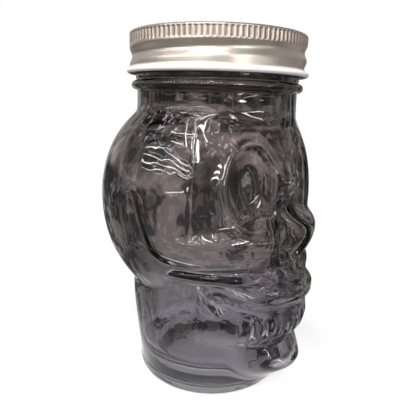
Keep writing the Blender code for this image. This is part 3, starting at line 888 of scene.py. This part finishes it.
# %% The floor
floor_fade_start, floor_fade_end, glow_end = 0.034, 0.080, 0.064
pale, pale_shader, place = new_material("pale_floor", Roughness=0.9)
speck = noise(place, 3.0, detail=2.0)
across_x, across_y, _ = split_axes(place)
from_jar = (across_x * across_x + across_y * across_y) ** 0.5
feed(
    pale_shader,
    Base_Color=speck.mix((0.84, 0.84, 0.84), (0.87, 0.87, 0.87)),
    Alpha=from_jar.ramp(floor_fade_start, floor_fade_end, 1.0, 0.0),
    Emission_Color=from_jar.ramp(floor_fade_start, glow_end, 1.0, 0.25).mix((0, 0, 0), (1, 1, 1)),
)
pale_shader.inputs["Emission Strength"].default_value = 0.65
floor_columns = np.arange(96) * 3.75 - 180
floor_radii, floor_height = (0.01, 0.06, 0.15, 0.25, 0.36), -0.0002
floor_grid = np.array([ring_points(floor_columns, radius, floor_height) for radius in floor_radii])
points, faces = capped(floor_grid[::-1])
faces = [face for face in faces if len(points) - 2 not in face]
floor_mesh = bpy.data.meshes.new("pale_floor")
floor_mesh.from_pydata(points.tolist(), [], faces)
floor_mesh.materials.append(pale)
floor_piece = bpy.data.objects.new("pale_floor", floor_mesh)
bpy.context.scene.collection.objects.link(floor_piece)
print("floor fades from", floor_fade_start, "to", floor_fade_end, "m")

# %% [markdown]
# White all round would wash out smoke-grey glass, because every edge would mirror it. So the backdrop
# is white only where the camera looks straight at it. Reflections and bent rays meet a dim room
# instead: pale and dark patches, a bright shelf just above the horizon, and a few small lamps high up
# on the camera's side. All of it is noise on the direction of the ray.

# %% The surroundings
world = bpy.data.worlds.new("studio")
world.use_nodes = True
bpy.context.scene.world = world
sky = world.node_tree
toward = Wire(sky, sky.nodes.new("ShaderNodeTexCoord").outputs["Generated"])
seen = Wire(sky, sky.nodes.new("ShaderNodeLightPath").outputs["Is Camera Ray"])
aside, _, height_of_ray = split_axes(toward)
room = height_of_ray.ramp(-0.5, 0.5).mix((0.12, 0.118, 0.125), (0.022, 0.021, 0.024))
patches = noise(toward, 4.4, detail=2.5, roughness=0.6).ramp(0.50, 0.555)
room = patches.mix(room, (0.62, 0.57, 0.555))
glints = noise(toward, 9.0, detail=3.0, roughness=0.6).ramp(0.60, 0.74)
room = glints.mix(room, (1.3, 1.25, 1.3))
lamps = noise(toward, 13.0, detail=2.0, roughness=0.7).ramp(0.585, 0.625)
lamps = lamps * height_of_ray.ramp(0.08, 0.25) * aside.ramp(-0.3, 0.3, 1.0, 0.0)
room = lamps.mix(room, (6.5, 6.2, 6.9))
shelf = noise(toward, 5.0, detail=5.0, roughness=0.65).ramp(0.38, 0.66)
shelf = shelf.mix((0.22, 0.20, 0.19), (1.1, 1.03, 0.97))
glow = height_of_ray.ramp(0.01, 0.10) * height_of_ray.ramp(0.35, 0.60, 1.0, 0.0)
glow = glow * aside.ramp(-0.1, 0.6, 1.0, 0.45)
room = glow.mix(room, shelf)
backdrop = seen.mix(room, (1.0, 1.0, 1.0))
sky.links.new(backdrop.socket, sky.nodes["Background"].inputs["Color"])
print("sky nodes:", len(sky.nodes))

# %% [markdown]
# A large soft light overhead lights the floor and the metal, and it is hidden from reflections. The
# thin squiggles on the glass are mirror images of tube lamps, broken up by the ripple of the surface.
# A strip light between two directions gives each one. The directions come from the bearing and height
# at which each highlight lies on the skull, mirrored about the surface there.

# %% Directions and lights


def direction(bearing, elevation):
    """The unit vector towards a bearing and an elevation, both in degrees."""
    around, up = math.radians(bearing), math.radians(elevation)
    return Vector((math.sin(around) * math.cos(up), -math.cos(around) * math.cos(up), math.sin(up)))


def add_panel(name, length, width, power):
    """A rectangular area light that still has to be placed and turned."""
    data = bpy.data.lights.new(name, "AREA")
    data.shape = "RECTANGLE"
    data.size, data.size_y = length, width
    data.energy = power
    panel = bpy.data.objects.new(name, data)
    bpy.context.scene.collection.objects.link(panel)
    return panel


tube_distance, tube_middle = 0.6, Vector((0, 0, 0.09))


def add_tube(name, start, end, width, power):
    """A thin strip light between two directions, each a (bearing, elevation), that faces the jar."""
    first, last = (tube_middle + tube_distance * direction(*way) for way in (start, end))
    tube = add_panel(name, (last - first).length, width, power)
    middle = (first + last) / 2
    along = (last - first).normalized()
    across = (middle - tube_middle).normalized().cross(along).normalized()
    tube.matrix_world = Matrix((along, across, along.cross(across))).transposed().to_4x4()
    tube.location = middle


print("straight ahead of the face:", [round(c, 3) for c in direction(0, 0)])

# %% The lights
overhead = add_panel("overhead", length=0.7, width=0.7, power=7.0)
overhead_way, overhead_distance = direction(-60, 65), 1.0
overhead.location = Vector((0, 0, 0.08)) + overhead_distance * overhead_way
overhead.rotation_euler = overhead_way.to_track_quat("Z", "Y").to_euler()
overhead.visible_glossy = False
overhead.visible_transmission = False
TUBES = (
    ("tube_1", (-126, 30), (-53, 21), 0.006, 0.25),
    ("tube_2", (-124, 24), (-52, 17), 0.005, 0.225),
    ("tube_3", (-124, 20), (-53, 14), 0.005, 0.2),
    ("tube_4", (-122, 16), (-54, 12), 0.004, 0.15),
    ("tube_5", (-46, 27), (-65, 60), 0.012, 0.35),
    ("tube_6", (-60, 37), (-78, 61), 0.007, 0.175),
    ("tube_7", (-40, 39), (-54, 57), 0.007, 0.125),
    ("tube_8", (-107, 50), (-56, 49), 0.006, 0.15),
    ("tube_9", (-92, 40), (-58, 37), 0.006, 0.125),
    ("tube_10", (-11, 22), (-23, 18), 0.012, 0.2),
    ("tube_11", (-14, 18), (-25, 14), 0.010, 0.16),
    ("tube_12", (-17, 14), (-27, 10), 0.010, 0.16),
    ("tube_13", (-76, 2), (-58, 2), 0.007, 0.05),
    ("tube_14", (-14, 3), (20, 3), 0.007, 0.18),
)
for name, start, end, width, power in TUBES:
    add_tube(name, start, end, width, power)
print("strip lights:", len(TUBES))

# %% [markdown]
# The camera stands a little above one shoulder of the skull, close to it, with the slight roll of a
# picture taken by hand. Its distance, height and angles were fitted to the round lid, neck and foot.

# %% The camera
focal_pixels, image_pixels = 433.9, 416
pitch, roll, yaw = np.radians([13.79, 1.63, -0.73])
eye_distance, eye_height, bearing = 0.1871, 0.1185, math.radians(-48.0)
forward = np.array([math.sin(yaw) * math.cos(pitch), math.cos(yaw) * math.cos(pitch), -math.sin(pitch)])
level = np.array([math.cos(yaw), -math.sin(yaw), 0.0])
upright = np.cross(level, forward)
right = math.cos(roll) * level + math.sin(roll) * upright
up = -math.sin(roll) * level + math.cos(roll) * upright
turn = np.array([
    [math.cos(bearing), -math.sin(bearing), 0],
    [math.sin(bearing), math.cos(bearing), 0],
    [0, 0, 1],
])
eye = turn @ np.array([0.0, -eye_distance, eye_height])
axes = turn @ np.stack([right, up, -forward], axis=1)
camera_data = bpy.data.cameras.new("camera")
camera_data.sensor_width = 36.0
camera_data.lens = focal_pixels / image_pixels * camera_data.sensor_width
camera_data.clip_start = 0.01
camera = bpy.data.objects.new("camera", camera_data)
bpy.context.scene.collection.objects.link(camera)
camera.matrix_world = Matrix([[*axes[i], eye[i]] for i in range(3)] + [[0, 0, 0, 1]])
bpy.context.scene.camera = camera
bpy.context.scene.view_settings.view_transform = "Standard"
print("camera at", [round(c, 4) for c in eye])
